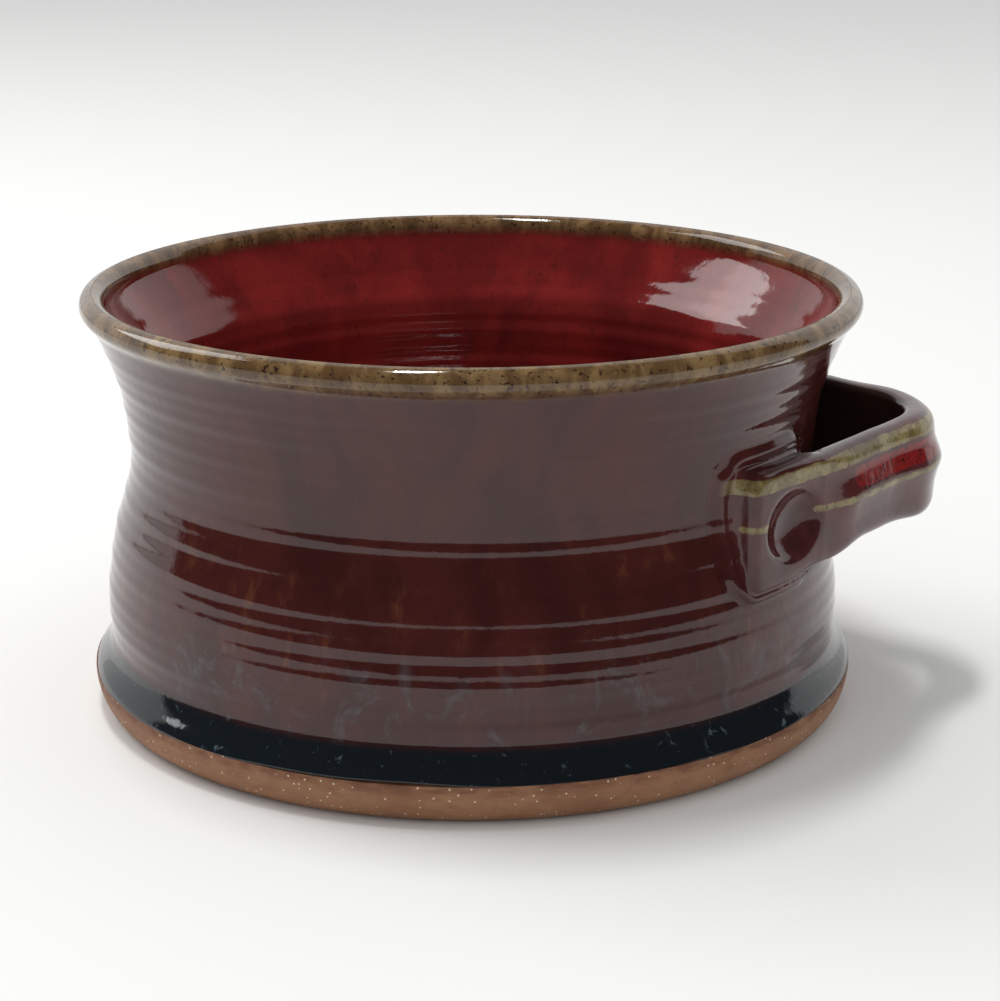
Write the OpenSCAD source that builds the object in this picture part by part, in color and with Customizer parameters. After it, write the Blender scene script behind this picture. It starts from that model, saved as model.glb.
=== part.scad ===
// Wheel-thrown crock bowl with one pulled strap handle.
// A red clay wall stands on a bare flange, with a waist under a flared rim.
// The strap bends out of the waist, round one finger's gap, and back to it.
// The axis is Z, the foot stands on Z = 0 and the handle points along +X.

/* [Wall] */
// Outer radius of the rounded lip
rim_r = 70; // [60:0.5:80]
// Height of the lip's crest above the table
bowl_h = 76.2; // [66:0.2:88]
// Radius of the waist, which is the narrowest ring of the outside
waist_r = 61.9; // [55:0.1:68]
// Height of the waist
waist_z = 45.7; // [40:0.1:52]
// Radius of the belly under the waist
belly_r = 67; // [60:0.1:74]
// Clay thickness of the wall at the waist
wall_t = 4.6; // [3.5:0.1:7]
// Roundness of the glazed lip
lip_t = 4.6; // [4:0.1:7]
// Clay thickness of the floor
floor_t = 7.6; // [4:0.2:10]

/* [Foot] */
// Largest radius of the flange at the foot
flange_r = 70; // [64:0.5:78]
// Height of the flange's widest ring
flange_z = 7.2; // [5:0.1:10]
// Outer radius of the face that stands on the table
stand_r = 66.2; // [58:0.1:72]

/* [Glaze] */
// Thickness of the glaze coats
glaze_t = 0.5; // [0.3:0.05:0.8]
// Height where the outside glaze stops and bare clay begins
glaze_line_z = 7.6; // [5:0.1:10]

/* [Handle] */
// Height of the strap's cross-section
strap_h = 17.9; // [14:0.1:20]
// Height of the strap's lower edge above the table
strap_z = 34.3; // [30:0.1:40]
// Thickness of the strap at its middle ridge
ridge_t = 7.2; // [5:0.1:8]
// Thickness of the strap at its upper flute
flute_t = 5.7; // [3.5:0.1:7]
// Thickness of the strap near its lower edge
edge_t = 6.1; // [3.5:0.1:7]
// Centre of the bend at the tip of the loop
bend_x = 62.9; // [58:0.1:68]
// Inside radius of the bend at the tip of the loop
bend_r = 16.6; // [12:0.1:20]
// Angle of each leg from the X axis
leg_angle = 50; // [45:1:56]
// Length of the straight part of each leg
leg_l = 35; // [28:0.5:40]
// Inside radius of the last bend, which lays the end on the wall
end_bend_r = 30; // [20:1:60]
// Angle of the last bend
end_bend_angle = 19; // [10:1:24]

/* [Joints] */
// Bearing of the middle of each pressed end, measured from the X axis
pad_bearing = 39.8; // [34:0.1:44]
// Length of a pressed end along the wall
pad_l = 19.4; // [14:0.1:24]
// Height of a pressed end
pad_h = 19.4; // [16:0.1:22]
// Radius of the outer face of a pressed end
pad_r = 67; // [64:0.1:70]
// Length of the thumb print in a pressed end
print_l = 15.5; // [12:0.5:20]
// Height of the thumb print
print_h = 11.8; // [9:0.1:15]
// Depth of the thumb print
print_depth = 2.4; // [1:0.1:3]
// Distance of the thumb print from the middle of the pressed end, towards its tail
print_shift = 2.6; // [0:0.1:5]
// Radius from the bowl's axis to the bottom of the thumb print
print_r = 66; // [64:0.1:68]
// Width of the raised slip that shows around a pressed end
slip_w = 3.4; // [2:0.1:6]
// Height of the raised slip above the clay wall
slip_t = 1.3; // [0.8:0.1:2]

/* [Hidden] */
clay_colour = [0.60, 0.40, 0.27];
slip_colour = [0.42, 0.33, 0.28];
glaze_colour = [0.33, 0.13, 0.12];
liner_colour = [0.42, 0.08, 0.08];
olive_colour = [0.47, 0.42, 0.26];
lip_r = lip_t / 2;
lip_z = bowl_h - lip_r;
lip_x = rim_r - lip_r;
pad_z = strap_z + strap_h / 2 - 0.7;
slip_rise = 3.2;
slip_drop = 1.5;
lap = 0.4;
lap_step = 0.03;
steps = 3;

// Catmull-Rom blend of four values
function blend(a, b, c, d, t) =
    0.5 * (2 * b + (c - a) * t + (2 * a - 5 * b + 4 * c - d) * t * t + (3 * b - a - 3 * c + d) * t * t * t);

// Smooth open curve through the points p, with n chords between neighbours
function open_curve(p, n) = [
    for (i = [0 : len(p) - 2])
        for (j = [0 : n - 1])
            blend(p[max(i - 1, 0)], p[i], p[i + 1], p[min(i + 2, len(p) - 1)], j / n),
    p[len(p) - 1]
];

// Smooth closed curve through the points p
function closed_curve(p, n) = [
    for (i = [0 : len(p) - 1])
        for (j = [0 : n - 1])
            blend(p[(i + len(p) - 1) % len(p)], p[i], p[(i + 1) % len(p)], p[(i + 2) % len(p)], j / n)
];

// Radius and height of points on the glazed outside, from the flange up to the lip
function outside_points() = [
    [flange_r, flange_z],
    [flange_r - 0.5, flange_z + 1.5],
    [flange_r - 1.8, flange_z + 2.9],
    [belly_r + 0.2, flange_z + 4.4],
    [belly_r - 0.4, flange_z + 6.4],
    [belly_r - 0.2, flange_z + 9.6],
    [belly_r, flange_z + 13.8],
    [belly_r - 0.8, waist_z - 18.3],
    [belly_r - 1.9, waist_z - 12.2],
    [waist_r + 1.3, waist_z - 6],
    [waist_r, waist_z],
    [waist_r + 0.4, waist_z + 6.1],
    [waist_r + 1.6, waist_z + 13.8],
    [lip_x - 1.6, lip_z - 6.9],
    [lip_x + 0.4, lip_z - 2.6]
];

// Radius and height of points on the clay inside, from the lip down to the axis
function inside_points() = [
    [lip_x - 2.2, lip_z - 2.4],
    [lip_x - 5.4, lip_z - 7.5],
    [waist_r - wall_t + 0.2, waist_z + 13.8],
    [waist_r - wall_t - 0.6, waist_z + 5],
    [waist_r - wall_t - 0.6, waist_z - 4],
    [waist_r - wall_t + 0.6, waist_z - 13],
    [waist_r - wall_t + 0.2, waist_z - 22],
    [waist_r - wall_t - 2.2, waist_z - 29],
    [waist_r - wall_t - 8.5, waist_z - 35],
    [waist_r - wall_t - 20, floor_t + 0.7],
    [waist_r - wall_t - 36, floor_t + 0.1],
    [0, floor_t]
];

// Arc of the lip's edge, at radius r, between two angles above the horizontal
function lip_arc(r, from, to) = [
    for (k = [0 : 6]) let (a = from + (to - from) * k / 6) [lip_x + r * cos(a), lip_z + r * sin(a)]
];

// Outside of the glaze, then of the clay under it
outside = open_curve(outside_points(), steps);
glazed_above = [for (q = outside) if (q[1] >= glaze_line_z) q];
clay_outside = [for (q = glazed_above) [q[0] - glaze_t, q[1]]];

// Inside of the clay, then of the glaze on it
clay_inside = open_curve(inside_points(), steps);
glaze_inside_curve = [
    for (i = [0 : len(clay_inside) - 1])
        let (
            a = clay_inside[max(i - 1, 0)],
            b = clay_inside[min(i + 1, len(clay_inside) - 1)],
            l = norm(b - a)
        )
        i == len(clay_inside) - 1
            ? [0, floor_t + glaze_t]
            : clay_inside[i] + glaze_t * [b[1] - a[1], a[0] - b[0]] / l
];

// Half section of the foot below the glaze line, from the axis outwards
foot = [
    [0, 0],
    [stand_r - 0.9, 0],
    [stand_r + 0.7, 0.5],
    [flange_r - 1.5, 2],
    [flange_r - 0.7, 3.6],
    [flange_r - 0.2, 5.4],
    [flange_r, flange_z],
    [flange_r - 0.1, glaze_line_z]
];

// Solid of revolution of the whole clay pot
module pot() {
    rotate_extrude($fn = 128)
        polygon(concat(foot, clay_outside, lip_arc(lip_r - glaze_t, 0, 180), clay_inside));
}

// Block with the clay wall's outline, grown outwards by t between two heights
module wall_block(t, low, high) {
    rotate_extrude($fn = 128)
        polygon(concat(
            [[0, low]],
            [for (q = clay_outside) if (q[1] > low && q[1] < high) [q[0] + t, q[1]]],
            [[0, high]]
        ));
}

// The clay pot filled up solid, to cut other pieces back to the wall
module pot_block() {
    wall_block(0, glaze_line_z, lip_z);
}

// Cross-section of the strap, grown by g, with X outwards from the inner face
function strap_section(g) =
    let (
        top = strap_z + strap_h,
        raw = closed_curve([
            [1.6, strap_z],
            [3.8, strap_z + 0.3],
            [edge_t - 0.4, strap_z + 2],
            [edge_t, strap_z + 5],
            [ridge_t, strap_z + 9.4],
            [flute_t + 0.5, strap_z + 12],
            [flute_t - 0.3, strap_z + 14.4],
            [flute_t - 1, top - 1.7],
            [flute_t - 2, top - 0.3],
            [1.4, top],
            [0.3, top - 1.1],
            [0, top - 4],
            [0, strap_z + 4],
            [0.3, strap_z + 1]
        ], 2),
        count = len(raw)
    )
    [
        for (i = [0 : count - 1])
            let (d = raw[(i + 1) % count] - raw[(i + count - 1) % count])
            raw[i] + g * [d[1], -d[0]] / norm(d)
    ];

// Bend at the tip of the loop
module tip_bend(g) {
    translate([bend_x, 0, 0])
        rotate([0, 0, leg_angle - 90])
            rotate_extrude(angle = 180 - 2 * leg_angle, $fn = 128)
                translate([bend_r, 0])
                    polygon(strap_section(g));
}

// Leg of the loop and its last bend, from the tip back to the pressed end on one side.
// Each length starts a little inside the one before, and is a hair thinner.
module leg(side, g) {
    lap_angle = asin(lap / end_bend_r);
    last_angle = end_bend_angle + lap_angle + asin(g / end_bend_r);
    translate([bend_x, 0, 0])
        rotate([0, 0, side * (90 - leg_angle)])
            translate([bend_r, 0, 0]) {
                translate([0, side > 0 ? leg_l : lap, 0])
                    rotate([90, 0, 0])
                        linear_extrude(leg_l + lap)
                            polygon(strap_section(g - lap_step));
                translate([-end_bend_r, side * leg_l, 0])
                    rotate([0, 0, side > 0 ? -lap_angle : lap_angle - last_angle])
                        rotate_extrude(angle = last_angle, $fn = 128)
                            translate([end_bend_r, 0])
                                polygon(strap_section(g - 2 * lap_step));
            }
}

// Rounded block that stands out from the wall at a pressed end
module end_block(side, length, height, corner) {
    rotate([0, 0, side * pad_bearing])
        translate([waist_r - wall_t, 0, pad_z])
            rotate([90, 0, 90])
                linear_extrude(pad_r + 8 - waist_r + wall_t) {
                    square([length - 2 * corner, height], center = true);
                    square([length, height - 2 * corner], center = true);
                    for (x = [-1, 1], y = [-1, 1])
                        translate([x * (length / 2 - corner), y * (height / 2 - corner)])
                            circle(corner);
                }
}

// Upright cylinder about the axis of the pot, as tall as the handle's joints
module column(radius) {
    translate([0, 0, strap_z - 8])
        cylinder(r = radius, h = strap_h + 16, $fn = 128);
}

// Hollow left by the thumb, less a coat g thick
module thumb_print(side, g) {
    across = (print_h * print_h / 4 + print_depth * print_depth) / (2 * print_depth);
    along = (print_l * print_l / 4 + print_depth * print_depth) / (2 * print_depth);
    half = acos(1 - (across - g) / along);
    rotate([0, 0, side * pad_bearing])
        translate([print_r + across, side * print_shift, pad_z])
            rotate([90, 0, 0])
                rotate_extrude($fn = 96)
                    polygon([
                        for (k = [-8 : 8])
                            let (a = half * k / 8)
                            [max(0, along * cos(a) - along + across - g), along * sin(a)]
                    ]);
}

// Strap and both pressed ends, grown by g, before the wall is cut away
module strap_form(g) {
    difference() {
        union() {
            tip_bend(g);
            for (side = [-1, 1]) {
                leg(side, g);
                intersection() {
                    end_block(side, pad_l + 2 * g, pad_h + 2 * g, 2.5 + g);
                    column(pad_r + g);
                }
            }
        }
        for (side = [-1, 1])
            thumb_print(side, g);
    }
}

// Slip around one pressed end, grown by g, before the wall and strap are cut away
module slip_form(side, g) {
    intersection() {
        translate([0, 0, (slip_rise - slip_drop) / 2])
            end_block(side, pad_l + 2 * slip_w + 2 * g, pad_h + slip_rise + slip_drop + 2 * g, 5 + g);
        wall_block(slip_t + g, strap_z - 8, strap_z + strap_h + 8);
    }
}

// Ring of slip left round one pressed end
module slip_ring(side) {
    difference() {
        slip_form(side, 0);
        pot_block();
        strap_form(0);
    }
}

module clay_body() {
    color(clay_colour) pot();
}

module strap() {
    color(clay_colour)
        difference() {
            strap_form(0);
            pot_block();
        }
}

module slip_near() {
    color(slip_colour) slip_ring(-1);
}

module slip_far() {
    color(slip_colour) slip_ring(1);
}

module glaze_outside() {
    color(glaze_colour)
        difference() {
            rotate_extrude($fn = 128)
                polygon(concat(
                    glazed_above,
                    lip_arc(lip_r, 0, 90),
                    [for (k = [6 : -1 : 0]) lip_arc(lip_r - glaze_t, 0, 90)[k]],
                    [for (i = [len(clay_outside) - 1 : -1 : 0]) clay_outside[i]]
                ));
            for (side = [-1, 1])
                slip_form(side, glaze_t);
        }
}

module glaze_inside() {
    color(liner_colour)
        rotate_extrude($fn = 128)
            polygon(concat(
                lip_arc(lip_r, 90, 180),
                glaze_inside_curve,
                [for (i = [len(clay_inside) - 1 : -1 : 0]) clay_inside[i]],
                [for (k = [6 : -1 : 0]) lip_arc(lip_r - glaze_t, 90, 180)[k]]
            ));
}

module glaze_handle() {
    color(olive_colour)
        difference() {
            union() {
                strap_form(glaze_t);
                for (side = [-1, 1])
                    slip_form(side, glaze_t);
            }
            pot_block();
            strap_form(0);
            for (side = [-1, 1])
                slip_form(side, 0);
        }
}

clay_body();
strap();
slip_near();
slip_far();
glaze_outside();
glaze_inside();
glaze_handle();
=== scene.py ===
import math

import bpy
import numpy as np
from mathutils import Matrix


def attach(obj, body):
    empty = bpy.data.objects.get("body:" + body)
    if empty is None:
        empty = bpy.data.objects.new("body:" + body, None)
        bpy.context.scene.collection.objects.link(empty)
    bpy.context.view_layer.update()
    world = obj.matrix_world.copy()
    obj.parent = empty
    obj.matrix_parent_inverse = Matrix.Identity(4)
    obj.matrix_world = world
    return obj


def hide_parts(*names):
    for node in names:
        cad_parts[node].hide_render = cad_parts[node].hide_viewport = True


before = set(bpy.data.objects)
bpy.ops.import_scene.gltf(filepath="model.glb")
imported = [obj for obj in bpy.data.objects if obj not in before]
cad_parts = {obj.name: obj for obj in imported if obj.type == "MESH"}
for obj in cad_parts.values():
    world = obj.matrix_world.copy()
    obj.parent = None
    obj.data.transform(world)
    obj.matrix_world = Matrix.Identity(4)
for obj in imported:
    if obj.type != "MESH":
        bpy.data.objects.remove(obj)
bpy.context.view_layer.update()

# Shapes are worked out in mm, in the frame of the solids. make() turns them into metres.
MM = 0.001

# The pot, with the sizes of the solids.
RIM_R = 70.0
BOWL_H = 76.2
WAIST_R = 61.9
WAIST_Z = 45.7
BELLY_R = 67.0
FLANGE_R = 70.0
FLANGE_Z = 7.2
STAND_R = 66.2
FLOOR_T = 7.6
INSIDE_R = WAIST_R - 4.6
LIP_R = 2.3
LIP_X = RIM_R - LIP_R
LIP_Z = BOWL_H - LIP_R
AXIS_R = 0.01

# The glaze coat, and the height of its lower edge.
GLAZE_T = 0.5
GLAZE_Z = 7.6

# The strap: one bend at its tip, two straight legs, and a gentler bend where each leg meets the wall.
BEND_X = 62.9
BEND_R = 16.6 - GLAZE_T
MID_BEND_R = 19.5
LEG_L = 35.0
LEG_A = math.radians(40)
END_R = 30.0
STRAP_Z0 = 34.3 - GLAZE_T
STRAP_Z1 = 52.2 + GLAZE_T
END_T = 4.3
TIP_S = LEG_A * MID_BEND_R

# The pressed end of the strap, and the thumb print in it, as an ellipsoid.
PAD_A = math.radians(39.8)
PAD_L = 19.4 + 2 * GLAZE_T
PAD_H = 19.4 + 2 * GLAZE_T
PAD_R = 67.4
PAD_Z = 42.55
PRINT_CENTRE = (-0.2, 42.4, 69.6)
PRINT_SIZE = (7.9, 6.9, 4.6)

# The ring of slip that seals the pressed end to the wall.
SLIP_W = 3.4
SLIP_CORNER_R = 2.5
SLIP_RISE = 0.9
SLIP_FILLET = 0.5

# How softly the parts of the handle are rounded, and blended into each other.
FACE_ROUND = 2.2
TOP_ROUND = 1.8
BOTTOM_ROUND = 2.6
END_ROUND = 1.6
PAD_CORNER_ROUND = 3.2
PRINT_ROUND = 0.7
PAD_BLEND = 1.2
WALL_BLEND = 1.4


def curve(points, steps=12):
    """Catmull-Rom curve through the points."""
    p = np.array(points, float)
    ext = np.vstack([p[:1], p, p[-1:]])
    t = np.linspace(0, 1, steps, endpoint=False)[:, None]
    out = []
    for a, b, c, d in zip(ext, ext[1:], ext[2:], ext[3:]):
        square = (2 * a - 5 * b + 4 * c - d) * t ** 2
        cube = (3 * b - a - 3 * c + d) * t ** 3
        out.append(0.5 * (2 * b + (c - a) * t + square + cube))
    out.append(p[-1:])
    return np.vstack(out)


def lip(from_deg, to_deg, count=30):
    """Arc of the rounded lip."""
    a = np.radians(np.linspace(from_deg, to_deg, count))
    return np.stack([LIP_X + LIP_R * np.cos(a), LIP_Z + LIP_R * np.sin(a)], -1)


def offset(line, distance):
    """The open line moved sideways, to the left of its direction."""
    t = np.gradient(line, axis=0)
    t /= np.linalg.norm(t, axis=1)[:, None]
    return line + distance * np.stack([-t[:, 1], t[:, 0]], -1)


def resample(line, step):
    """The line with points every step mm."""
    d = np.r_[0, np.cumsum(np.linalg.norm(np.diff(line, axis=0), axis=1))]
    s = np.linspace(0, d[-1], max(4, int(d[-1] / step)))
    return np.stack([np.interp(s, d, line[:, 0]), np.interp(s, d, line[:, 1])], -1)


def smooth(line, times):
    """Rounds the joins of a dense line and keeps its ends."""
    q = line.copy()
    for _ in range(times):
        q[1:-1] = 0.25 * q[:-2] + 0.5 * q[1:-1] + 0.25 * q[2:]
    return q


# Half-sections of the pot, as radius and height.
outside_points = [
    (FLANGE_R, FLANGE_Z), (FLANGE_R - 0.5, FLANGE_Z + 1.5), (FLANGE_R - 1.8, FLANGE_Z + 2.9),
    (BELLY_R + 0.2, FLANGE_Z + 4.4), (BELLY_R - 0.4, FLANGE_Z + 6.4), (BELLY_R - 0.2, FLANGE_Z + 9.6),
    (BELLY_R, FLANGE_Z + 13.8), (BELLY_R - 0.8, WAIST_Z - 18.3), (BELLY_R - 1.9, WAIST_Z - 12.2),
    (WAIST_R + 1.3, WAIST_Z - 6), (WAIST_R, WAIST_Z), (WAIST_R + 0.4, WAIST_Z + 6.1),
    (WAIST_R + 1.6, WAIST_Z + 13.8), (LIP_X - 1.6, LIP_Z - 6.9), (LIP_X + 0.4, LIP_Z - 2.6),
]
inside_points = [
    (LIP_X - 2.2, LIP_Z - 2.4), (LIP_X - 5.4, LIP_Z - 7.5), (INSIDE_R + 0.2, WAIST_Z + 13.8),
    (INSIDE_R - 0.6, WAIST_Z + 5), (INSIDE_R - 0.6, WAIST_Z - 4), (INSIDE_R + 0.6, WAIST_Z - 13),
    (INSIDE_R + 0.2, WAIST_Z - 22), (INSIDE_R - 2.2, WAIST_Z - 29), (INSIDE_R - 8.5, WAIST_Z - 35),
    (INSIDE_R - 20, FLOOR_T + 0.7), (INSIDE_R - 36, FLOOR_T + 0.1), (AXIS_R, FLOOR_T),
]
foot_points = [
    (AXIS_R, 0), (STAND_R - 1.6, 0), (STAND_R - 0.6, 0.1), (STAND_R + 0.7, 0.55), (FLANGE_R - 1.5, 2.0),
    (FLANGE_R - 0.7, 3.6), (FLANGE_R - 0.2, 5.4), (FLANGE_R, FLANGE_Z), (FLANGE_R - 0.1, GLAZE_Z),
]
outside = np.vstack([curve(outside_points), lip(-28, 90)])
outside = smooth(resample(outside[outside[:, 1] >= GLAZE_Z], 0.25), 12)
inside = np.vstack([lip(90, 205), offset(curve(inside_points), -GLAZE_T)[1:]])
inside[:, 0] = np.maximum(inside[:, 0], AXIS_R)
inside = smooth(resample(inside, 0.3), 12)
foot = smooth(resample(np.array(foot_points), 0.25), 6)
wall = outside[outside[:, 1] < LIP_Z - 1]


def wobble(theta, z):
    """The unevenness of a hand-thrown wall, in mm: a slight oval, and throwing rings between foot and lip."""
    inset = 0.12
    oval = 0.10 * np.sin(theta * 2 + 0.7) + 0.06 * np.sin(theta * 3 + 2.1 + z * 0.02)
    rings = 0.05 * np.sin(z * 1.15 + 0.6 * np.sin(theta)) + 0.035 * np.sin(z * 2.3 + theta + 1.0)
    fade = np.clip((z - 9) / 6, 0, 1) * np.clip((70 - z) / 5, 0, 1)
    return -inset + oval * 0.5 + rings * fade


def wall_r(theta, z):
    """Radius of the glazed wall."""
    return np.interp(z, wall[:, 1], wall[:, 0]) + wobble(theta, z)


def make(name, verts, faces, material):
    """A smooth mesh object from points in mm."""
    mesh = bpy.data.meshes.new(name)
    mesh.from_pydata((np.asarray(verts) * MM).tolist(), [], faces)
    mesh.update()
    mesh.polygons.foreach_set("use_smooth", [True] * len(mesh.polygons))
    mesh.materials.append(material)
    piece = bpy.data.objects.new(name, mesh)
    bpy.context.scene.collection.objects.link(piece)
    return piece


def lathe(name, profile, count, material, move):
    """Turns the profile about Z. move(theta, r, z) gives the moved radius and height."""
    theta = np.linspace(0, 2 * np.pi, count, endpoint=False)
    T, R = np.meshgrid(theta, profile[:, 0], indexing="ij")
    _, Z = np.meshgrid(theta, profile[:, 1], indexing="ij")
    R, Z = move(T, R, Z)
    verts = np.stack([R * np.cos(T), R * np.sin(T), Z], -1).reshape(-1, 3)
    m = len(profile)
    i = np.arange(count)[:, None]
    j = np.arange(m - 1)[None]
    a = i * m + j
    b = ((i + 1) % count) * m + j
    return make(name, verts, np.stack([a, b, b + 1, a + 1], -1).reshape(-1, 4).tolist(), material)


# Colours as linear red, green and blue.
OX_BLOOD = (0.040, 0.010, 0.009)
OX_BLOOD_LIGHT = (0.062, 0.014, 0.012)
GRAIN = (0.016, 0.007, 0.007)
ORANGE_BROWN = (0.135, 0.045, 0.020)
MILKY_GREY = (0.085, 0.088, 0.095)
COVE_BLACK = (0.008, 0.011, 0.014)
PALE_BLUE = (0.12, 0.16, 0.19)
LIP_SPECK = (0.030, 0.014, 0.009)
LIP_BROWN = (0.095, 0.052, 0.022)
LIP_OLIVE = (0.20, 0.125, 0.055)
LINER_RED = (0.115, 0.010, 0.010)
LINER_RED_LIGHT = (0.190, 0.016, 0.014)
LINER_SHADE = (0.070, 0.012, 0.010)
LINER_GRAIN = (0.030, 0.008, 0.008)
LINER_LIP_BROWN = (0.085, 0.045, 0.020)
LINER_LIP_OLIVE = (0.19, 0.11, 0.05)
CLAY = (0.250, 0.115, 0.055)
CLAY_LIGHT = (0.330, 0.165, 0.085)
CLAY_BROWN = (0.200, 0.085, 0.038)
CLAY_RUST = (0.135, 0.045, 0.018)
CLAY_GRAIN = (0.095, 0.040, 0.020)
CLAY_SPECK = (0.62, 0.50, 0.36)
STRAP_PURPLE = (0.050, 0.014, 0.014)
STRAP_PURPLE_LIGHT = (0.085, 0.022, 0.022)
STRAP_RED = (0.200, 0.014, 0.014)
STRAP_RED_GRAIN = (0.055, 0.009, 0.008)
STRAP_OLIVE = (0.135, 0.098, 0.038)
STRAP_OLIVE_LIGHT = (0.235, 0.185, 0.085)
STRAP_SPECK = (0.040, 0.022, 0.010)
# painted shade for the loop's inner face, in the gap towards the wall
STRAP_PAINTED_SHADE = (0.022, 0.013, 0.010)

GLAZE_IOR = 1.52
CLAY_IOR = 1.45

# Socket numbers of a Mix node that mixes colours.
MIX_FACTOR, MIX_A, MIX_B, MIX_OUT = 0, 6, 7, 2


def add(tree, kind, inputs=(), **settings):
    """A new node with its settings, and its inputs linked or set by name or number."""
    node = tree.nodes.new(kind)
    for name, value in settings.items():
        setattr(node, name, value)
    for key, value in dict(inputs).items():
        socket = node.inputs[key]
        if isinstance(value, bpy.types.NodeSocket):
            tree.links.new(value, socket)
        elif socket.type == "RGBA":
            socket.default_value = (*value, 1)
        else:
            socket.default_value = value
    return node


def ramp(tree, value, low, high, at_low=0.0, at_high=1.0):
    """A smooth step of a value from low to high."""
    limits = {"From Min": low, "From Max": high, "To Min": at_low, "To Max": at_high}
    node = add(tree, "ShaderNodeMapRange", {"Value": value, **limits}, interpolation_type="SMOOTHSTEP")
    return node.outputs[0]


def arithmetic(tree, operation, a, b):
    return add(tree, "ShaderNodeMath", {0: a, 1: b}, operation=operation).outputs[0]


def blend(tree, factor, a, b):
    """Mixes two colours."""
    return add(tree, "ShaderNodeMix", {MIX_FACTOR: factor, MIX_A: a, MIX_B: b}, data_type="RGBA").outputs[MIX_OUT]


class Surface:
    """A Principled material whose pattern follows the object's own coordinates."""

    def __init__(self, name, roughness, ior):
        self.material = bpy.data.materials.new(name)
        self.material.use_nodes = True
        self.tree = self.material.node_tree
        self.tree.nodes.clear()
        self.shader = add(self.tree, "ShaderNodeBsdfPrincipled", {"Roughness": roughness, "IOR": ior})
        add(self.tree, "ShaderNodeOutputMaterial", {0: self.shader.outputs[0]})
        self.place = add(self.tree, "ShaderNodeTexCoord").outputs["Object"]
        self.z = add(self.tree, "ShaderNodeSeparateXYZ", {0: self.place}).outputs[2]

    def ramp(self, value, low, high, at_low=0.0, at_high=1.0):
        return ramp(self.tree, value, low, high, at_low, at_high)

    def height(self, low, high, at_low=0.0, at_high=1.0):
        """A smooth step between two heights in mm."""
        return self.ramp(self.z, low * MM, high * MM, at_low, at_high)

    def times(self, a, b):
        return arithmetic(self.tree, "MULTIPLY", a, b)

    def ragged(self, value, tone, amount):
        """The value with its edge broken up by a pattern."""
        swing = self.times(arithmetic(self.tree, "SUBTRACT", tone, 0.5), amount)
        return arithmetic(self.tree, "ADD", value, swing)

    def mix(self, factor, a, b):
        return blend(self.tree, factor, a, b)

    def stretched(self, scale_z, shift=(0, 0, 0)):
        """Coordinates that draw a pattern out along Z."""
        inputs = {0: self.place, "Scale": (1, 1, scale_z), "Location": shift}
        return add(self.tree, "ShaderNodeMapping", inputs).outputs[0]

    def noise(self, scale, detail, roughness, place=None, distortion=0.0):
        inputs = {"Vector": place or self.place, "Scale": scale, "Detail": detail,
                  "Roughness": roughness, "Distortion": distortion}
        return add(self.tree, "ShaderNodeTexNoise", inputs).outputs[0]

    def specks(self, scale, size):
        """1 inside small dots."""
        cells = add(self.tree, "ShaderNodeTexVoronoi", {"Vector": self.place, "Scale": scale})
        return self.ramp(cells.outputs["Distance"], size * 0.6, size, 1, 0)

    def attribute(self, name):
        return add(self.tree, "ShaderNodeAttribute", attribute_name=name).outputs["Fac"]

    def bump(self, height, strength, distance):
        inputs = {"Strength": strength, "Distance": distance, "Height": height}
        self.tree.links.new(add(self.tree, "ShaderNodeBump", inputs).outputs[0], self.shader.inputs["Normal"])

    def colour(self, colour):
        self.tree.links.new(colour, self.shader.inputs["Base Color"])


def ripple(s, strength):
    """The faint unevenness of a fired glaze."""
    s.bump(s.noise(420, 3, 0.5), strength, 0.0004)


def thin_glaze(s, tone, fine, dark, light, speck):
    """Glaze that runs thin over an edge: brown to olive, with dark specks."""
    colour = s.mix(s.ramp(tone, 0.4, 0.65), dark, light)
    return s.mix(s.ramp(fine, 0.56, 0.66), colour, speck)


def outer_glaze():
    s = Surface("outer_glaze", 0.07, GLAZE_IOR)
    fall = s.stretched(0.45)
    big = s.noise(70, 5, 0.6, fall, 0.6)
    mid = s.noise(240, 5, 0.6, fall, 0.4)
    fine = s.noise(1100, 4, 0.65)
    colour = s.mix(s.ramp(big, 0.35, 0.65), OX_BLOOD, OX_BLOOD_LIGHT)
    # orange-brown mottles, mostly on the belly
    belly = s.times(s.height(14, 26), s.height(40, 47, 1, 0.15))
    mottles = s.times(s.ramp(mid, 0.52, 0.72), s.ramp(big, 0.42, 0.62))
    colour = s.mix(s.times(mottles, s.times(belly, 0.75)), colour, ORANGE_BROWN)
    # blue-grey milky clouds low on the belly
    cloud = s.noise(150, 6, 0.7, s.stretched(0.8, (0.3, 0.1, 0.2)), 0.8)
    low_belly = s.times(s.height(10, 15), s.height(20, 34, 1, 0))
    colour = s.mix(s.times(s.ramp(cloud, 0.50, 0.74), s.times(low_belly, 0.65)), colour, MILKY_GREY)
    # the dark band above the flange, with pale blue specks
    cove = s.height(11.8, 14.2, 1, 0)
    colour = s.mix(cove, colour, COVE_BLACK)
    blue = s.times(s.ramp(s.noise(420, 5, 0.7, None, 0.5), 0.60, 0.75), cove)
    colour = s.mix(s.times(blue, 0.8), colour, PALE_BLUE)
    colour = s.mix(s.height(70.2, 72.8), colour, thin_glaze(s, mid, fine, LIP_BROWN, LIP_OLIVE, LIP_SPECK))
    colour = s.mix(s.ramp(fine, 0.58, 0.72, 0, 0.45), colour, GRAIN)
    s.colour(colour)
    ripple(s, 0.10)
    return s.material


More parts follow.
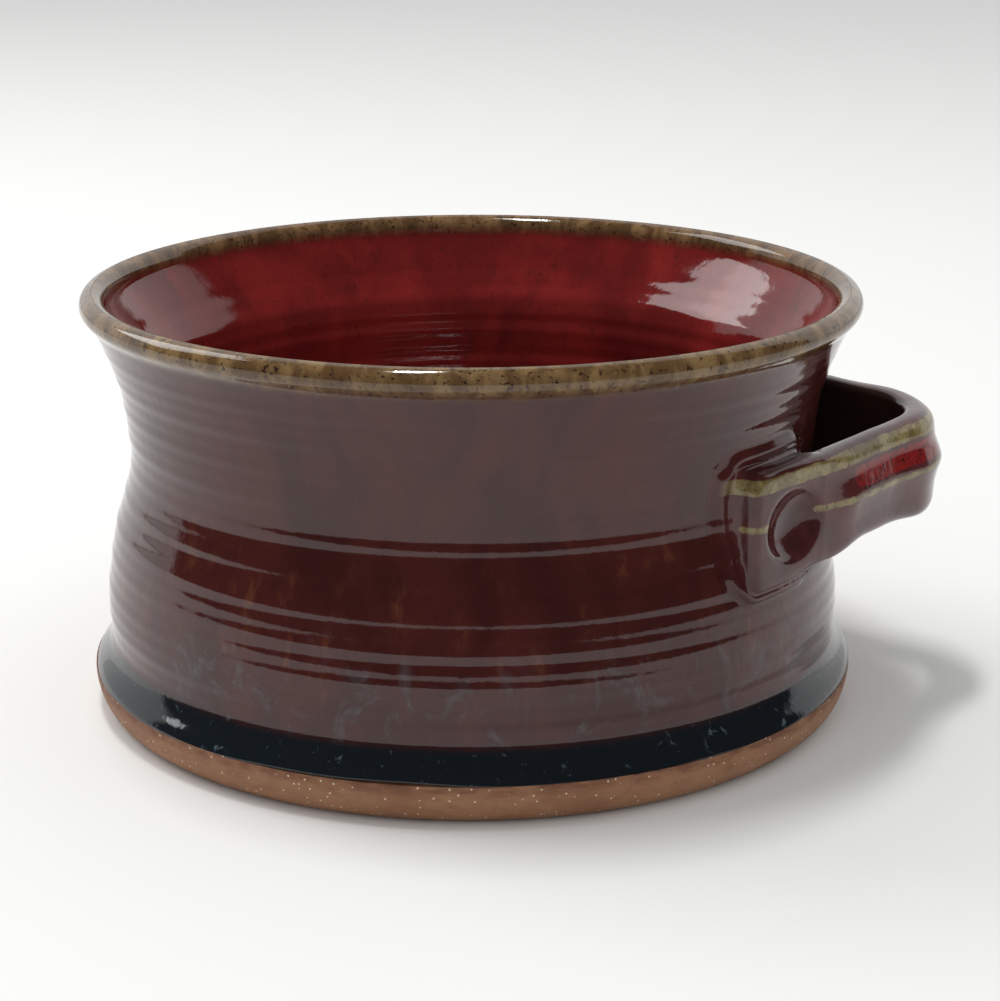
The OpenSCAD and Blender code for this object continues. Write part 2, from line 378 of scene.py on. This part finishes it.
def liner_glaze():
    s = Surface("liner_glaze", 0.08, GLAZE_IOR)
    fall = s.stretched(0.4, (0.05, 0.02, 0.1))
    big = s.noise(60, 5, 0.6, fall, 0.6)
    mid = s.noise(260, 5, 0.65, fall, 0.4)
    fine = s.noise(1200, 4, 0.65)
    colour = s.mix(s.ramp(big, 0.35, 0.65), LINER_RED, LINER_RED_LIGHT)
    colour = s.mix(s.ramp(mid, 0.55, 0.72, 0, 0.5), colour, LINER_SHADE)
    colour = s.mix(s.ramp(fine, 0.57, 0.70, 0, 0.55), colour, LINER_GRAIN)
    edge = thin_glaze(s, mid, fine, LINER_LIP_BROWN, LINER_LIP_OLIVE, LIP_SPECK)
    s.colour(s.mix(s.height(72.2, 74.5), colour, edge))
    ripple(s, 0.10)
    return s.material


def bare_clay():
    s = Surface("bare_clay", 0.62, CLAY_IOR)
    big = s.noise(45, 5, 0.6)
    mid = s.noise(260, 5, 0.6, s.stretched(3))
    fine = s.noise(1600, 4, 0.7)
    colour = s.mix(s.ramp(big, 0.35, 0.65), CLAY, CLAY_LIGHT)
    colour = s.mix(s.ramp(mid, 0.45, 0.70, 0, 0.5), colour, CLAY_BROWN)
    rust = s.times(s.height(5.2, 7.4), s.ramp(mid, 0.35, 0.6, 0.4, 1))
    colour = s.mix(s.times(rust, 0.85), colour, CLAY_RUST)
    colour = s.mix(s.ramp(fine, 0.60, 0.72, 0, 0.5), colour, CLAY_GRAIN)
    s.colour(s.mix(s.specks(700, 0.16), colour, CLAY_SPECK))
    s.bump(fine, 0.25, 0.0002)
    return s.material


def handle_glaze():
    """The glaze of the strap: red where it pools in the flute, olive where it runs thin on the ridges, and
    painted shade on the loop's inner face.
    """
    s = Surface("handle_glaze", 0.08, GLAZE_IOR)
    mid = s.noise(300, 5, 0.65, None, 0.4)
    big = s.noise(110, 4, 0.6, None, 0.4)
    fine = s.noise(1100, 4, 0.7)
    patches = s.ramp(big, 0.35, 0.65)
    colour = s.mix(patches, STRAP_PURPLE, STRAP_PURPLE_LIGHT)
    red = s.mix(s.ramp(fine, 0.48, 0.64), STRAP_RED, STRAP_RED_GRAIN)
    colour = s.mix(s.ramp(s.ragged(s.attribute("pool"), mid, 0.5), 0.35, 0.6), colour, red)
    olive = s.mix(s.ramp(mid, 0.40, 0.62), STRAP_OLIVE, STRAP_OLIVE_LIGHT)
    olive = s.mix(s.ramp(fine, 0.56, 0.68, 0, 0.8), olive, STRAP_SPECK)
    colour = s.mix(s.ramp(s.ragged(s.attribute("thin"), mid, 0.6), 0.40, 0.70), colour, olive)
    # painted shade: the inner face of the loop, across the gap from the wall, is darkened
    colour = s.mix(s.times(s.attribute("inner"), 0.9), colour, STRAP_PAINTED_SHADE)
    s.colour(s.mix(s.attribute("near_wall"), colour, s.mix(patches, OX_BLOOD, OX_BLOOD_LIGHT)))
    ripple(s, 0.12)
    return s.material


def move_outside(theta, r, z):
    """Hand-thrown unevenness, and a glaze line that wanders up and down."""
    line = 0.35 * np.sin(theta * 3 + 1) + 0.22 * np.sin(theta * 7 + 2) + 0.12 * np.sin(theta * 17)
    near = np.clip((10.5 - z) / 3, 0, 1)
    return r + wobble(theta, z), z + line * near - 0.15 * near


def move_inside(theta, r, z):
    """Throwing rings on the inner wall, and the outside's unevenness at the lip."""
    inset = 0.05
    rings = 0.10 * np.sin(z * 0.9 + 0.5 * np.sin(theta)) + 0.05 * np.sin(z * 1.9 + theta)
    fade = np.clip((70 - z) / 6, 0, 1) * np.clip((r - 20) / 20, 0, 1)
    at_lip = wobble(theta, z) * np.clip((z - 66) / 6, 0, 1)
    return np.maximum(r - inset + rings * fade + at_lip, AXIS_R / 2), z


def move_clay(theta, r, z):
    """The foot draws in slightly above the edge that it stands on."""
    return r - 0.12 * np.clip(z / 2, 0, 1), z


def with_bead(profile):
    """The outside profile with the rounded lower edge of the glaze coat."""
    r0, z0 = profile[0]
    a = np.radians(np.linspace(-170, -10, 9))
    bead = np.stack([r0 - GLAZE_T / 2 + GLAZE_T / 2 * np.cos(a), z0 + 0.25 * np.sin(a)], -1)
    return np.vstack([[r0 - GLAZE_T, z0 + 0.5], bead, profile[1:]])


def clay_profile():
    """The bare foot, then the wall and floor just under the two glaze coats."""
    outer = smooth(resample(offset(outside[::8], GLAZE_T), 1.0), 1)
    profile = np.vstack([foot, outer, offset(inside[::10], GLAZE_T)])
    profile[:, 0] = np.maximum(profile[:, 0], AXIS_R)
    return profile


pot_outer = lathe("glaze_outside_coat", with_bead(outside), 720, outer_glaze(), move_outside)
pot_liner = lathe("glaze_inside_coat", inside, 600, liner_glaze(), move_inside)
pot_clay = lathe("clay_pot", clay_profile(), 480, bare_clay(), move_clay)


# The handle is one skin, drawn from a blended distance field.
def smin(a, b, k):
    """The union of two fields, blended over k mm."""
    h = np.clip(0.5 + 0.5 * (b - a) / k, 0, 1)
    return b + (a - b) * h - k * h * (1 - h)


def smax(a, b, k):
    """The overlap of two fields, rounded over k mm."""
    return -smin(-a, -b, k)


def step(x, a, b):
    """A smooth step from 0 at a to 1 at b."""
    t = np.clip((x - a) / (b - a), 0, 1)
    return t * t * (3 - 2 * t)


# Thickness of the strap up its face, from 0 at its lower edge to 1 at its upper edge.
FACE_HEIGHTS = [-0.3, 0.00, 0.12, 0.28, 0.42, 0.52, 0.62, 0.72, 0.80, 0.88, 0.94, 1.0, 1.3]
THICKNESSES = [5.2, 5.9, 6.2, 6.35, 6.9, 7.6, 6.9, 6.1, 5.9, 5.8, 5.2, 4.2, 1.0]
RIDGE_V = 0.52
FLUTE_V = 0.70
TOP_V = 0.90
face_v = np.linspace(FACE_HEIGHTS[0], FACE_HEIGHTS[-1], 400)
face_t = smooth(np.stack([face_v, np.interp(face_v, FACE_HEIGHTS, THICKNESSES)], -1), 120)[:, 1]


def direction(angle):
    """The way out from the wall at the near side, at an angle from +X, and the way along it."""
    return np.array([math.cos(angle), -math.sin(angle)]), np.array([-math.sin(angle), -math.cos(angle)])


def strap_coords(P):
    """Along the strap from its tip, outwards from its inner face, and along the wall at the pressed end."""
    x, y = P[:, 0], -np.abs(P[:, 1])
    dx = x - BEND_X
    angle = np.arctan2(y, dx)
    n, d = direction(LEG_A)
    leg_start = np.array([BEND_X, 0]) + BEND_R * n
    along = (x - leg_start[0]) * d[0] + (y - leg_start[1]) * d[1]
    out = (x - leg_start[0]) * n[0] + (y - leg_start[1]) * n[1]
    in_bend = (angle > -LEG_A) & (dx > -5)
    s = np.where(in_bend, -angle * MID_BEND_R, TIP_S + along)
    t = np.where(in_bend, np.hypot(dx, y) - BEND_R, out)
    end_centre = leg_start + d * LEG_L - n * (END_R - GLAZE_T)
    ex, ey = x - end_centre[0], y - end_centre[1]
    turn = np.clip(-LEG_A - np.arctan2(ey, ex), 0, 1.2)
    in_end = along > LEG_L
    s = np.where(in_end, TIP_S + LEG_L + turn * END_R, s)
    t = np.where(in_end, np.hypot(ex, ey) - END_R + GLAZE_T, t)
    _, tangent = direction(PAD_A)
    return s, t, x * tangent[0] + y * tangent[1]


def strap_field(s, t, u, z):
    """The strap, thinner along its legs and flat at its pressed end."""
    pressed = step(s, 30, 42)
    flat = step(s, 36, 47)
    lift = 0.9 * step(s, 8, 22) * (1 - pressed)
    drop = 0.6 * pressed
    z0 = STRAP_Z0 + lift - drop
    z1 = STRAP_Z1 + 0.1 * pressed
    leg_share = 1.0 - 0.14 * step(s, 10, 24)
    thick = np.interp((z - z0) / (z1 - z0), face_v, face_t) * leg_share
    end_thick = END_T - 0.1 * np.clip(s - 45, 0, 20)
    thick = thick * (1 - flat) + end_thick * flat
    d = smax(t - thick, -t, FACE_ROUND)
    d = smax(d, z - z1, TOP_ROUND)
    d = smax(d, z0 - z, BOTTOM_ROUND)
    return smax(d, u - PAD_L / 2, END_ROUND)


def pad_field(u, z, r):
    """The block that the pressed end makes on the wall."""
    sides = smax(np.abs(u) - PAD_L / 2, np.abs(z - PAD_Z) - PAD_H / 2, PAD_CORNER_ROUND)
    return smax(sides, r - PAD_R, END_ROUND)


def print_field(u, z, r):
    """The thumb print."""
    parts = [((v - c) / w) ** 2 for v, c, w in zip((u, z, r), PRINT_CENTRE, PRINT_SIZE)]
    return (np.sqrt(parts[0] + parts[1] + parts[2]) - 1) * PRINT_SIZE[2]


def slip_height(u, z):
    """How far the ring of slip stands off the wall. It is narrower below and towards the loop."""
    qx = np.maximum(np.abs(u) - PAD_L / 2 + SLIP_CORNER_R, 0)
    qz = np.maximum(np.abs(z - PAD_Z) - PAD_H / 2 + SLIP_CORNER_R, 0)
    away = np.hypot(qx, qz) - SLIP_CORNER_R
    width = SLIP_W - 1.6 * step(PAD_Z - z, 6, 11) - 1.2 * step(-u, 6, 12)
    ring = SLIP_RISE * np.exp(-((away - width * 0.62) / (width * 0.42)) ** 2)
    fillet = SLIP_FILLET * np.exp(-(np.maximum(away, 0) / 1.6) ** 2)
    return (ring + fillet) * step(width * 2.0 - away, 0, 1.2)


def handle_field(P):
    """Distance in mm to the handle with its slip on the wall, and to the wall alone."""
    x, y, z = P.T
    r = np.hypot(x, y)
    s, t, u = strap_coords(P)
    d = smin(strap_field(s, t, u, z), pad_field(u, z, r), PAD_BLEND)
    d = smax(d, -print_field(u, z, r), PRINT_ROUND)
    base = r - wall_r(np.arctan2(y, x), z)
    return smin(d, base - slip_height(u, z), WALL_BLEND), base


CORNERS = np.array([(i, j, k) for i in (0, 1) for j in (0, 1) for k in (0, 1)])
EDGES = [(a, b) for a in range(8) for b in range(a + 1, 8) if np.abs(CORNERS[a] - CORNERS[b]).sum() == 1]


def cell_points(field, solid):
    """One point in each cell that the surface crosses, in cells, and the number of each such cell's point."""
    count = np.zeros(tuple(n - 1 for n in field.shape), np.int8)
    for corner in CORNERS:
        count += solid[tuple(slice(c, n - 1 + c) for c, n in zip(corner, field.shape))]
    cells = np.argwhere((count > 0) & (count < 8))
    index = -np.ones(count.shape, np.int64)
    index[tuple(cells.T)] = np.arange(len(cells))
    values = np.stack([field[tuple((cells + c).T)] for c in CORNERS], 1)
    total = np.zeros((len(cells), 3))
    crossings = np.zeros(len(cells))
    for a, b in EDGES:
        va, vb = values[:, a], values[:, b]
        crossed = (va < 0) != (vb < 0)
        t = np.where(crossed, va / np.where(crossed, va - vb, 1), 0)
        point = CORNERS[a] + t[:, None] * (CORNERS[b] - CORNERS[a])
        total += np.where(crossed[:, None], point, 0)
        crossings += crossed
    return cells + total / crossings[:, None], index


def surface_nets(field, low, size):
    """Points and four-sided faces of the surface where the field is 0."""
    solid = field < 0
    points, index = cell_points(field, solid)
    quads = []
    for axis, (o1, o2) in enumerate([(1, 2), (2, 0), (0, 1)]):
        first = tuple(slice(0, -1) if a == axis else slice(None) for a in range(3))
        second = tuple(slice(1, None) if a == axis else slice(None) for a in range(3))
        ends = np.argwhere(solid[first] != solid[second])
        inner = (ends[:, o1] > 0) & (ends[:, o2] > 0)
        inner &= (ends[:, o1] < field.shape[o1] - 1) & (ends[:, o2] < field.shape[o2] - 1)
        ends = ends[inner]
        quad = []
        for back1, back2 in ((1, 1), (0, 1), (0, 0), (1, 0)):
            cell = ends.copy()
            cell[:, o1] -= back1
            cell[:, o2] -= back2
            quad.append(index[tuple(cell.T)])
        quad = np.stack(quad, 1)
        outward = solid[tuple(ends.T)]
        quad[~outward] = quad[~outward][:, ::-1]
        quads.append(quad)
    return low + size * points, np.vstack(quads)


def handle_skin():
    """Points and faces of the handle, without the plain wall round it, and each point's height off the wall."""
    size = 0.4
    low = np.array([35.0, -57.0, 27.0])
    high = np.array([88.4, 57.0, 59.0])
    counts = np.ceil((high - low) / size).astype(int) + 1
    grid = [low[i] + size * np.arange(counts[i]) for i in range(3)]
    Y, Z = np.meshgrid(grid[1], grid[2], indexing="ij")
    field = np.empty(tuple(counts))
    for i, x in enumerate(grid[0]):
        P = np.stack([np.full(Y.size, x), Y.ravel(), Z.ravel()], -1)
        field[i] = handle_field(P)[0].reshape(Y.shape)
    V, Q = surface_nets(field, low, size)
    # move each point onto the surface
    probe = 0.02
    for _ in range(2):
        here = handle_field(V)[0]
        slope = np.stack([(handle_field(V + axis * probe)[0] - here) / probe for axis in np.eye(3)], -1)
        V = V - np.clip(here / np.maximum((slope ** 2).sum(1), 0.2), -0.3, 0.3)[:, None] * slope
    off_wall = handle_field(V)[1]
    margin = 1
    rim = (V[:, 0] < low[0] + margin) | (np.abs(V[:, 1]) > high[1] - margin)
    rim |= (V[:, 2] < low[2] + margin) | (V[:, 2] > high[2] - margin)
    keep = (off_wall > 0.03) & ~rim
    Q = Q[keep[Q].any(1) & ~rim[Q].any(1)]
    used = np.unique(Q)
    number = -np.ones(len(V), int)
    number[used] = np.arange(len(used))
    return V[used], number[Q], off_wall[used]


def store(piece, name, values):
    """Keeps a number at each point, for the material."""
    layer = piece.data.attributes.new(name, "FLOAT", "POINT")
    layer.data.foreach_set("value", np.asarray(values, np.float32))


def make_handle():
    V, Q, off_wall = handle_skin()
    s, t, _ = strap_coords(V)
    # a slight unevenness of the loop, as pulled by hand
    sway = 0.12 * np.sin(V[:, 0] * 0.31 + V[:, 2] * 0.2) * np.sin(V[:, 1] * 0.23 + 1.3)
    V[:, 2] += sway * step(V[:, 0], 64, 72)
    piece = make("handle_coat", V, Q.tolist(), handle_glaze())
    v = (V[:, 2] - STRAP_Z0) / (STRAP_Z1 - STRAP_Z0)
    face = step(t, 2.0, 3.6)
    flute = face * np.exp(-((v - FLUTE_V) / 0.105) ** 4) * (1 - step(s, 33, 39)) * step(s, 2, 5)
    top = np.exp(-((v - TOP_V) / 0.075) ** 4) * step(t, 0.8, 2.0)
    ridge = 0.75 * face * np.exp(-((v - RIDGE_V) / 0.05) ** 2)
    store(piece, "pool", flute)
    store(piece, "thin", np.clip(top + ridge, 0, 1))
    # where shade is painted: the inner face of the loop, away from the wall
    store(piece, "inner", np.clip(1 - step(t, 0.2, 1.4), 0, 1) * step(off_wall, 1.0, 3.0))
    store(piece, "near_wall", 1 - step(off_wall, 0.4, 1.6))
    return piece


handle = make_handle()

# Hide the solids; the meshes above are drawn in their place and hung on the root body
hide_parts("glaze_outside")
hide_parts("glaze_inside")
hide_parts("clay_body")
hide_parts("glaze_handle", "strap", "slip_near", "slip_far")
slots = ((pot_outer, "glaze_outside"), (pot_liner, "glaze_inside"), (pot_clay, "clay_body"),
         (handle, "glaze_handle"))
for piece, name in slots:
    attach(piece, "root")

# Surroundings, in metres: a pale floor, and a dark room in front that only reflections see.
FLOOR_COLOUR = (0.80, 0.795, 0.78)
FLOOR_HALF = 6
DARK_FLOOR = (0.02, 0.017, 0.016)
DARK_FROM_Y = -0.30
DARK_TO_Y = -0.42
SKY = (0.86, 0.87, 0.88)
SKY_STRENGTH = 0.80
WHITE_WALL = (0.86, 0.86, 0.86)
DARK_ROOM = (0.016, 0.013, 0.012)


def floor_material():
    material = bpy.data.materials.new("floor_paper")
    material.use_nodes = True
    tree = material.node_tree
    tree.nodes.clear()
    place = add(tree, "ShaderNodeTexCoord").outputs["Object"]
    y = add(tree, "ShaderNodeSeparateXYZ", {0: place}).outputs[1]
    glossy = add(tree, "ShaderNodeLightPath").outputs["Is Glossy Ray"]
    dark_share = arithmetic(tree, "MULTIPLY", ramp(tree, y, DARK_FROM_Y, DARK_TO_Y), glossy)
    lit = add(tree, "ShaderNodeBsdfDiffuse", {0: FLOOR_COLOUR}).outputs[0]
    dark = add(tree, "ShaderNodeEmission", {0: DARK_FLOOR}).outputs[0]
    mixed = add(tree, "ShaderNodeMixShader", {0: dark_share, 1: lit, 2: dark}).outputs[0]
    add(tree, "ShaderNodeOutputMaterial", {0: mixed})
    return material


def make_floor():
    mesh = bpy.data.meshes.new("floor")
    corners = [(x * FLOOR_HALF, y * FLOOR_HALF, 0) for x, y in ((-1, -1), (1, -1), (1, 1), (-1, 1))]
    mesh.from_pydata(corners, [], [(0, 1, 2, 3)])
    mesh.materials.append(floor_material())
    floor = bpy.data.objects.new("floor", mesh)
    bpy.context.scene.collection.objects.link(floor)
    return floor


def make_world():
    """An even sky. Reflections see it white behind the pot, and dark in front and overhead."""
    world = bpy.data.worlds.new("studio")
    bpy.context.scene.world = world
    world.use_nodes = True
    tree = world.node_tree
    tree.nodes.clear()
    towards = add(tree, "ShaderNodeTexCoord").outputs["Generated"]
    axes = add(tree, "ShaderNodeSeparateXYZ", {0: towards}).outputs
    white_share = arithmetic(tree, "MULTIPLY", ramp(tree, axes[1], 0.28, 0.36), ramp(tree, axes[2], 0.92, 0.75))
    reflected = blend(tree, white_share, DARK_ROOM, WHITE_WALL)
    sky = add(tree, "ShaderNodeBackground", {0: SKY, 1: SKY_STRENGTH}).outputs[0]
    seen_in_gloss = add(tree, "ShaderNodeBackground", {0: reflected}).outputs[0]
    glossy = add(tree, "ShaderNodeLightPath").outputs["Is Glossy Ray"]
    mixed = add(tree, "ShaderNodeMixShader", {0: glossy, 1: sky, 2: seen_in_gloss}).outputs[0]
    add(tree, "ShaderNodeOutputWorld", {0: mixed})


def lamp(name, place, power, width, depth=None):
    """A soft lamp that faces the middle of the pot."""
    light = bpy.data.lights.new(name, "AREA")
    light.energy = power
    light.size = width
    if depth:
        light.shape = "RECTANGLE"
        light.size_y = depth
    holder = bpy.data.objects.new(name, light)
    holder.location = place
    dx, dy, dz = (0 - place[0], 0 - place[1], 0.04 - place[2])
    holder.rotation_euler = (math.atan2(math.hypot(dx, dy), -dz), 0, math.atan2(dy, dx) - math.pi / 2)
    bpy.context.scene.collection.objects.link(holder)


def make_camera():
    """The photo's camera: its focal length in pixels of a frame 1001 pixels high."""
    focal_px = 2438.607
    frame_px = 1001
    camera = bpy.data.cameras.new("camera")
    camera.sensor_width = 36
    camera.lens = focal_px * camera.sensor_width / frame_px
    camera.clip_start = 0.02
    camera.clip_end = 50
    holder = bpy.data.objects.new("camera", camera)
    holder.location = (-0.017505, -0.430937, 0.163409)
    holder.rotation_euler = (math.radians(90 - 16.602), 0, math.radians(-3))
    bpy.context.scene.collection.objects.link(holder)
    bpy.context.scene.camera = holder


make_floor()
make_world()
lamp("overhead", (-0.15, 0.05, 1.1), 5.0, 0.34, 0.10)
lamp("side_left", (-0.9, 0.5, 0.9), 6.0, 0.7)
make_camera()
bpy.context.scene.view_settings.view_transform = "Standard"
